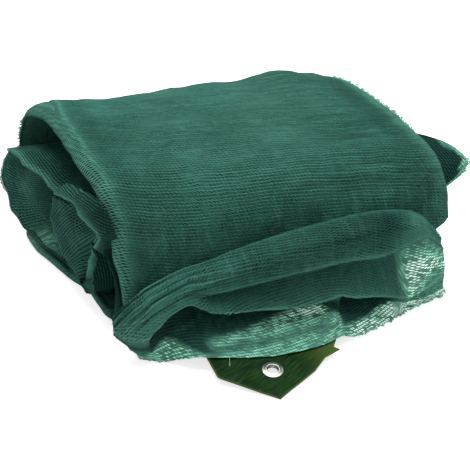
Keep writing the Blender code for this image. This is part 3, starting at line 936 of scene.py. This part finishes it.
def heap_section(fold):
    """One section across the heap, from the leg behind the ridge to the hem."""
    leg_top = fold.ridge_z - LEG_BELOW_RIDGE
    leg_foot = min(LEG_FOOT, leg_top - 8)
    heights = [between(leg_foot, leg_top, share) for share in LEG_SHARES]
    leg = [(roll_front(fold.x, z) - LEG_WALL - LEG_LEAN * k**2, z) for k, z in zip(LEG_SHARES, heights)]
    ridge = [(fold.ridge_y + SHOULDER, fold.ridge_z - SHOULDER), (fold.ridge_y, fold.ridge_z)]
    swag_y = between(fold.ridge_y, fold.under_y, 0.5)
    swag_z = between(fold.ridge_z, fold.under_z, 0.5)
    tall = fold.ridge_z - fold.under_z
    belly = [(swag_y - full * fold.belly, swag_z + high * tall) for high, full in BELLY_POINTS]
    tuck = [
        (fold.under_y, fold.under_z),
        (fold.under_y + fold.deep, fold.under_z - TUCK_DROP - 0.1 * fold.deep),
        (fold.edge_y + 0.45 * fold.deep, between(fold.under_z, fold.edge_z, 0.65)),
    ]
    back_y = fold.edge_y + fold.hollow
    back_z = between(fold.edge_z, fold.hem_z, 0.28)
    hollow = [
        (fold.edge_y, fold.edge_z),
        (fold.edge_y + 0.6 * fold.hollow, fold.edge_z - TUCK_DROP),
        (back_y, back_z - TUCK_DROP),
    ]
    line = [(fold.x, y, z) for y, z in leg + ridge + belly + tuck + hollow]
    apron = (
        between(fold.x, fold.hem_x, 0.4),
        between(back_y, fold.hem_y, 0.38),
        between(back_z, fold.hem_z, 0.34) - TUCK_DROP,
    )
    return np.array(line + [apron, (fold.hem_x, fold.hem_y, fold.hem_z)], float)


sections = np.array([heap_section(fold) for fold in HEAP])
heap_rows = smooth_rows(sections.reshape(len(HEAP), -1), HEAP_STEPS)
heap_rows = heap_rows.reshape(len(heap_rows), -1, 3)
heap = np.array([smooth_rows(row, CREASE_STEPS, by_distance=True) for row in heap_rows])
part = np.arange(heap.shape[1]) / CREASE_STEPS
lengths = np.linalg.norm(np.diff(heap, axis=1), axis=2)
across = np.concatenate([np.zeros((len(heap), 1)), np.cumsum(lengths, axis=1)], axis=1)
across = across - across[:, [RIDGE_PART * CREASE_STEPS]]
along = run_length(heap[:, RIDGE_PART * CREASE_STEPS])[:, None] + HEAP[0].x
along = along + (heap[:, :, 0] - heap[:, :1, 0])
heap[:, :, 0] += 22 * fall(heap[:, :, 0], -136, 26) * fall(part, 4.7, 1.5)
side = np.gradient(heap, axis=1)
forward = np.gradient(heap, axis=0)
normal = np.cross(side, forward)
normal /= np.maximum(np.linalg.norm(normal, axis=2), 1e-6)[:, :, None]
full = 0.5 * hump(part, RIDGE_PART, 0.8) + 1.2 * hump(part, 6.5, 1.2)
full = full + 0.7 * hump(part, EDGE_PART, 0.9) + 1.0 * hump(part, APRON_PART, 0.8)
waves = ruffle(across, along * 0.35, 21, 7, lean=0.25) + 0.5 * ruffle(across, along, 60, 8, lean=1.0)
waves = full * waves
pleats = fall(heap[:, :, 0], -55, 30) * rise(part, 4.2, 0.8) * fall(part, 10, 1.5)
pleat_line = ruffle(across, along * 0.12, 9.5, 9, lean=0.2, parts=3)
waves += 1.5 * pleats * pleat_line
heap_outer = heap + normal * waves[:, :, None]
heap_outer[:, :, 2] = np.maximum(heap_outer[:, :, 2], OUTER_FLOOR_GAP)

heap_x = heap[:, :, 0]


turning = np.interp(heap_x[:, 0], [-150, -110, -30, 40, 80, 140], [0.2, 0.0, -0.2, -0.22, -0.36, -0.3])
sinking = np.concatenate([[0], np.cumsum(turning[1:] * np.diff(heap_x[:, 0]))])[:, None]
level_ribs = 40 - 1.05 * (heap[:, :, 2] - 60) - 0.2 * heap_x
over_panel = rise(heap_x, PANEL_START, 8) * rise(part, 8.2, 0.3)
rib_place = between(across * between(0.8, 1.0, rise(heap_x, -60, 120)) + sinking, level_ribs, over_panel)
hem_ribs = 0.92 * (across - across[:, -1:]) + 0.12 * heap_x
rib_place = between(rib_place, hem_ribs, rise(part, 12.6, 0.7) * (1 - over_panel))
back_face = (part > UNDER_PART + 0.05) & (heap_x < PANEL_START)
drawn_long = (part > 12.65) & (heap_x < PANEL_START)
shown_along = np.where(back_face, -along, along) * between(1.0, 1.35, drawn_long)

# Paint: painted highlights along ridges, lips, the hem and folds, painted shade in swags, recesses, valleys
# and the bag, and painted backlight where a single ply lies against the light floor.
ridge_line = 0.3 * hump(part, RIDGE_PART, 0.12)
swag_foot = 0.5 * hump(part, 7.75, 0.2)
lower_lip = 0.9 * hump(part, 10.95, 0.18)
hem_line = 0.5 * hump(part, HEM_PART, 0.12)
pinch_part = np.interp(part, [10.9, 13.5, 14.3, 15], [54, 51, 40, 22])
pinch = hump(heap_x, pinch_part, 3.0) * rise(part, 10.8, 0.3)
bag = (1 - rise(heap_x, -82, 14)) * rise(heap_x, -137, 8)
panel = rise(heap_x, 122, 14) * rise(part, 8.3, 0.5)
hollow_foot = np.interp(heap_x, [58, 66, 92, 113], [14.75, 14.65, 14.5, 14.0])
hollow_share = rise(heap_x, 56, 5) * rise(part, 11.15, 0.3)
hollow_share = hollow_share * fall(part, hollow_foot, 0.2) * (heap_x < 117)
apron_top = np.interp(heap_x, [-80, -35, 23, 50, 60, 110], [14.35, 14.0, 13.3, 13.2, 14.0, 13.4])
apron = rise(part, apron_top, 0.2)
second_fold = np.interp(heap_x, [-80, -49, -5, 17, 45], [14.86, 14.62, 14.5, 14.42, 14.3])
under_lip = 0.4 * hump(heap_x, 30, 28) * hump(part, 13.55, 0.5)
folded_over = hump(part, second_fold, 0.16) * (1 - rise(heap_x, 48, 8))
uneven = np.minimum(0.85 + 0.35 * ruffle(across, along, 30, 12, lean=1.2), 1)
uneven = uneven + 0.5 * rise(heap_x, 58, 12)
# Painted backlight on the apron, the bag's hem and the panel: holes painted bright that glow.
apron_sheer = apron * (1 - bag) * (1 - hollow_share) * (uneven + under_lip) * (1 - 0.8 * folded_over)
bag_foot = np.interp(heap_x, [-135, -114, -103, -94, -85], [13.8, 14.0, 14.35, 14.7, 14.85])
bag_hem = bag * rise(part, bag_foot, 0.25) * 0.9
panel_low = between(1.9, 0.5, rise(heap_x, 134, 20))
panel_lit = hump(part, 9.8, np.where(part > 9.8, panel_low, 0.4))
panel_bright = panel * (0.3 + 1.2 * panel_lit + 0.8 * rise(part, 13.4, 0.6))
heap_sheer = np.maximum(np.maximum(apron_sheer, bag_hem), panel_bright) * (1 - 0.8 * pinch)
# More painted light: on the left leg, in the recess, on the swag's rim and along the fold line.
leg_light = 0.3 * (1 - rise(heap_x, -132, 25)) * rise(part, 5, 2)
in_recess = 0.14 * stretch(part, 8.2, 0.4, 12.2, 0.4) * (1 - bag)
swag_rim = 0.5 * rise(heap_x, 118, 22) * hump(part, 6.9, 0.9)
fold_line = 0.6 * hump(part, second_fold - 0.22, 0.07) * (1 - rise(heap_x, 44, 8))
fold_line = fold_line * rise(heap_x, -70, 30)
heap_painted_light = ridge_line + swag_foot * (1 - bag) + lower_lip + hem_line + 0.6 * pinch
heap_painted_light = heap_painted_light + leg_light + in_recess + swag_rim + fold_line
# Painted shade over the swags, in the recess, in the pleat valleys, in the hollow and inside the bag.
swag_shade = 0.5 * hump(part, 6.05, 0.95) * rise(heap_x, -70, 60) * (1 - rise(heap_x, 122, 16))
swag_shade = swag_shade + 0.2 * hump(part, 5.2, 0.35)
swag_shade = swag_shade + 0.45 * hump(heap_x, 114, 20) * hump(part, 5.7, 0.5)
recess = 0.4 * hump(part, 12.9, 0.9) * (1 - panel)
valleys = 0.85 * pleats * np.clip(-1.4 * pleat_line, 0, 1)
heap_painted_shade = recess + swag_shade + valleys + 0.4 * hollow_share
heap_painted_shade = np.maximum(heap_painted_shade, bag * 0.65 * rise(part, 11.3, 0.5) * (1 - bag_hem))
heap_painted_shade = heap_painted_shade * (1 - np.minimum(heap_sheer, 1))
in_apron = rise(part, 11, 0.5)
heap_sealed = np.maximum(np.maximum(panel, bag), in_apron)
heap_marks = marked(heap, lift=heap_painted_light, deep=heap_painted_shade, sealed=heap_sealed, sheer=heap_sheer)
loose_end = cloth_piece("loose_end_outer_ply", heap_outer, rib_place, shown_along, heap_marks, OUTER_NET)
inner_count = INNER_STOP * CREASE_STEPS
heap_inner = (heap - normal * PLIES_APART)[:, :inner_count]
heap_inner[:, :, 2] = np.maximum(heap_inner[:, :, 2], INNER_FLOOR_GAP)
inner_marks = {mark: values[:, :inner_count] for mark, values in heap_marks.items()}
loose_inner = cloth_piece(
    "loose_end_inner_ply",
    heap_inner,
    rib_place[:, :inner_count] + 1.3,
    along[:, :inner_count] + 0.8,
    inner_marks,
    UNDER_NET,
)
hem_points = heap_outer[:, -1]
loose_frays = [
    frayed_edge("loose_end_fray_right", hem_points[hem_points[:, 0] > 60], (0.25, -1, 0), 3.0, 73),
    frayed_edge("loose_end_fray_left", hem_points[hem_points[:, 0] < -95], (-0.6, -1, 0), 1.1, 76),
]
for piece in (loose_end, loose_inner, *loose_frays):
    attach(piece, "root")
    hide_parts("loose_end")

# The corner patch
# A cut of woven polyethylene tarpaulin, folded under along its edges and sewn
# under the net's corner with pale thread, of which two stitches show.
PATCH_TIP = (-41, -194, 0)
PATCH_SLOPE = math.atan(0.155)
FRONT_RIGHT = [(0, -1.2), (14.5, 6), (47, 21), (64, 34), (82, 39), (78, 44), (88, 56)]
UNDER_HEM = [(82, 84), (-36, 86)]
FRONT_LEFT = [(-43, 74), (-43.5, 50), (-43.5, 45), (-41, 41.5), (-14.5, 13.5)]
PATCH_OUTLINE = FRONT_RIGHT + UNDER_HEM + FRONT_LEFT
PATCH_THICKNESS = 1.5
STITCHES = [(-27, 54.5), (-24.8, 59.5), (-24.4, 60.5), (-22.3, 65.5)]
EYELET_AT = (9, 35.5)
TAPE_WIDTH = 1.25
TAPE_ANGLE = 63
TAPE_STREAKS = (1.2, 0.07)
OUTLINE_STEP = 1.6
MESH_STEP = 1.9
MESH_SPANS = ((-46, 92), (-2, 90))
FROM_OUTLINE = 0.9
FROM_HOLE = 1.1
PATCH_HOLE = 6.7
HOLE_SIDES = 48
SLAB = 0.0013
THREAD_RADIUS = 0.00035
STITCH_POINTS = 5


def on_patch(u, v, height=0.0):
    """A place in the scene from one on the patch, which tilts up towards the hem."""
    climb, run = math.sin(PATCH_SLOPE), math.cos(PATCH_SLOPE)
    tip_x, tip_y, tip_z = PATCH_TIP
    return np.array([tip_x + u, tip_y + v * run - height * climb, tip_z + v * climb + height * run])


def edge_distance(points, outline):
    """How far points are from a closed outline."""
    best = np.full(len(points), 1e9)
    for a, b in zip(outline, np.roll(outline, -1, axis=0)):
        way = b - a
        share = np.clip(((points - a) @ way) / (way @ way), 0, 1)
        best = np.minimum(best, np.linalg.norm(points - (a + share[:, None] * way), axis=1))
    return best


def inside(points, outline):
    """Which points lie within a closed outline."""
    hits = np.zeros(len(points), bool)
    for (ax, ay), (bx, by) in zip(outline, np.roll(outline, -1, axis=0)):
        if ay == by:
            continue
        level = (ay > points[:, 1]) != (by > points[:, 1])
        hits ^= level & (points[:, 0] < (bx - ax) * (points[:, 1] - ay) / (by - ay) + ax)
    return hits


def patch_points():
    """The outline, all points of the flat patch with its hole, and the edges that a cut follows."""
    outline = []
    corners = np.array(PATCH_OUTLINE, float)
    for a, b in zip(corners, np.roll(corners, -1, axis=0)):
        count = max(2, int(np.linalg.norm(b - a) / OUTLINE_STEP))
        outline += [a + (b - a) * k / count for k in range(count)]
    outline = np.array(outline)
    hole_turns = np.linspace(0, 2 * math.pi, HOLE_SIDES, endpoint=False)
    hole = np.stack([np.cos(hole_turns), np.sin(hole_turns)], axis=1) * PATCH_HOLE + EYELET_AT
    gu, gv = np.meshgrid(*(np.arange(*span, MESH_STEP) for span in MESH_SPANS))
    inner = np.stack([gu.ravel(), gv.ravel()], axis=1)
    keep = inside(inner, outline) & (edge_distance(inner, outline) > FROM_OUTLINE)
    keep &= np.linalg.norm(inner - EYELET_AT, axis=1) > PATCH_HOLE + FROM_HOLE
    n, m = len(outline), len(hole)
    edges = [(k, (k + 1) % n) for k in range(n)] + [(n + k, n + (k + 1) % m) for k in range(m)]
    return outline, np.vstack([outline, hole, inner[keep]]), edges


def cut_patch():
    """The patch's cloth round its hole. It swells a little, and a low rim runs along its edge."""
    outline, points, edges = patch_points()
    made = geometry.delaunay_2d_cdt([Vector(p) for p in points], edges, [], 1, 1e-6)
    verts = np.array([list(v) for v in made[0]])
    faces = []
    for face in made[2]:
        middle = verts[list(face)].mean(axis=0)
        if np.linalg.norm(middle - EYELET_AT) > PATCH_HOLE - 0.1 and inside(middle[None], outline)[0]:
            faces.append(list(face))
    near = edge_distance(verts, outline)
    from_eyelet = np.linalg.norm(verts - EYELET_AT, axis=1)
    calm = rise(from_eyelet, 11, 14)
    swell = 0.9 * ruffle(verts[:, 0], verts[:, 1], 46, 17, lean=0.8) * calm * rise(near, 0, 10)
    hem = 0.5 * hump(near, 4.0, 3.0) * calm
    height = PATCH_THICKNESS + np.maximum(swell + hem, -0.4)
    places = np.array([on_patch(u, v, h) for (u, v), h in zip(verts, height)]) * MM
    data = bpy.data.meshes.new("corner_patch_cloth")
    data.from_pydata(places.tolist(), [], faces)
    layer = data.uv_layers.new(name="cloth")
    loops = np.array([loop.vertex_index for loop in data.loops])
    layer.data.foreach_set("uv", (verts[loops] * MM).ravel())
    held = data.attributes.new("edge", "FLOAT", "POINT")
    held.data.foreach_set("value", near)
    piece = stand("corner_patch_cloth", data)
    thicken = piece.modifiers.new("thickness", "SOLIDIFY")
    thicken.thickness = SLAB
    thicken.offset = -1
    data.shade_smooth()
    return piece


def tarp_finish():
    """Flat woven tape: a plain weave of narrow tapes under a thin clear film."""
    material, shader, wire = new_finish("olive woven tarpaulin", Specular_IOR_Level=0.05)
    cloth = wire.node("UVMap", {"uv_map": "cloth"})
    turn = {"Vector": cloth, "Angle": math.radians(TAPE_ANGLE)}
    turned = wire.node("VectorRotate", {"rotation_type": "Z_AXIS"}, turn)
    warp, weft = (turned.axis(number) / MM / TAPE_WIDTH for number in (0, 1))
    warp_round = (abs(warp % 1.0 - 0.5) * -2 + 1).maths("POWER", 0.5)
    weft_round = (abs(weft % 1.0 - 0.5) * -2 + 1).maths("POWER", 0.5)
    over = ((warp.maths("FLOOR") + weft.maths("FLOOR")) % 2.0).step(0.4, 0.6)
    height = warp_round * over + weft_round * (1 - over)
    place = wire.node("TexCoord", out=3)
    cloudy = noise(wire, place, 30.0, 4.0)
    edge = painted(wire, "edge")
    streaks = drawn_out(wire, warp, weft, TAPE_STREAKS, 3.0)
    sunlit_end = cloth.axis(0).step(0.035, 0.085)
    base = layered(
        wire,
        blend(wire, cloudy.step(0.3, 0.7), (0.003, 0.019, 0.004), (0.007, 0.034, 0.009)),
        (height.step(0.5, 1.0) * 0.45, (0.015, 0.060, 0.017)),
        (streaks.step(0.5, 0.68) * 0.7, (0.036, 0.100, 0.018)),
        (streaks.step(0.48, 0.32) * 0.75, (0.002, 0.008, 0.003)),
        (sunlit_end * 0.85, (0.085, 0.155, 0.028)),
        (edge.step(2.0, 0.4) * 0.6, (0.12, 0.19, 0.05)),
    )
    bump = wire.node("Bump", None, {"Strength": 0.6, "Distance": 0.0003, "Height": height})
    feed(wire.tree, shader, Base_Color=base, Roughness=0.58 - height * 0.16, Normal=bump)
    return material


def sew(name, points):
    """A pale sewing thread through the patch, in short stitches."""
    made = bpy.data.curves.new(name, "CURVE")
    made.dimensions = "3D"
    made.bevel_depth = THREAD_RADIUS
    made.bevel_resolution = 2
    made.use_fill_caps = True
    for (ua, va), (ub, vb) in zip(points[::2], points[1::2]):
        stitch = made.splines.new("POLY")
        stitch.points.add(STITCH_POINTS - 1)
        for k in range(STITCH_POINTS):
            share = k / (STITCH_POINTS - 1)
            height = PATCH_THICKNESS + 0.1 + 0.6 * math.sin(math.pi * share)
            place = on_patch(between(ua, ub, share), between(va, vb, share), height) * MM
            stitch.points[k].co = (*place, 1.0)
    thread = stand(name, made)
    pale, shader, _ = new_finish("pale sewing thread", Base_Color=(0.50, 0.56, 0.42), Roughness=0.7)
    made.materials.append(pale)
    return thread


stitches = sew("patch_stitches", STITCHES)
corner_patch = cut_patch()
corner_patch.data.materials.append(tarp_finish())
for piece in (corner_patch, stitches):
    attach(piece, "root")
    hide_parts("corner_patch")

# The eyelet
# Two pressed rings of zinc-plated steel, closed over the patch with a rolled
# barrel through it. The upper ring has a raised bead round the hole.

# Radius and height of each bend in the rings' section, once round.
UPPER_RING = [
    (10.5, 1.55), (10.45, 1.95), (10.1, 2.2), (9.5, 2.35),
    (8.6, 2.55), (7.6, 2.9), (6.7, 3.25), (6.1, 3.3),
]
BORE = [(5.6, 3.05), (5.3, 2.5), (5.25, 1.6), (5.25, 0.4), (5.3, -0.8), (5.8, -1.3)]
LOWER_RING = [(8.0, -1.2), (10.2, -0.9), (10.5, -0.4), (10.2, -0.1)]
BARREL_SIDE = [(6.5, 0.0), (6.35, 0.2), (6.35, 1.4), (6.6, 1.5)]
EYELET_SECTION = UPPER_RING + BORE + LOWER_RING + BARREL_SIDE
EYELET_SIDES = 96


def press_eyelet():
    """Both rings as one turned band, closed on itself through the hole."""
    mesh = bmesh.new()
    u, v = EYELET_AT
    rings = []
    for radius, height in EYELET_SECTION:
        ring = []
        for k in range(EYELET_SIDES):
            angle = 2 * math.pi * k / EYELET_SIDES
            place = on_patch(u + radius * math.cos(angle), v + radius * math.sin(angle), height)
            ring.append(mesh.verts.new(place * MM))
        rings.append(ring)
    for here, there in zip(rings, rings[1:] + rings[:1]):
        for k in range(EYELET_SIDES):
            n = (k + 1) % EYELET_SIDES
            mesh.faces.new((here[k], here[n], there[n], there[k]))
    bmesh.ops.recalc_face_normals(mesh, faces=mesh.faces)
    data = bpy.data.meshes.new("eyelet_rings")
    mesh.to_mesh(data)
    mesh.free()
    data.shade_smooth()
    piece = stand("eyelet_rings", data)
    smoother = piece.modifiers.new("smoother", "SUBSURF")
    smoother.levels = smoother.render_levels = 1
    return piece


def steel_finish():
    """Zinc plating, a little rubbed and dull in places."""
    material, shader, wire = new_finish("zinc-plated steel", Metallic=1.0)
    place = wire.node("TexCoord", out=3)
    rubbed = noise(wire, place, 420.0, 4.0)
    dull = noise(wire, place, 120.0, 3.0)
    base = blend(wire, dull.step(0.35, 0.7), (0.36, 0.39, 0.34), (0.60, 0.62, 0.57))
    bump = wire.node("Bump", None, {"Strength": 0.15, "Distance": 0.0001, "Height": rubbed})
    feed(wire.tree, shader, Base_Color=base, Roughness=0.24 + rubbed * 0.22, Normal=bump)
    return material


eyelet = press_eyelet()
eyelet.data.materials.append(steel_finish())
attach(eyelet, "root")
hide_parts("eyelet")
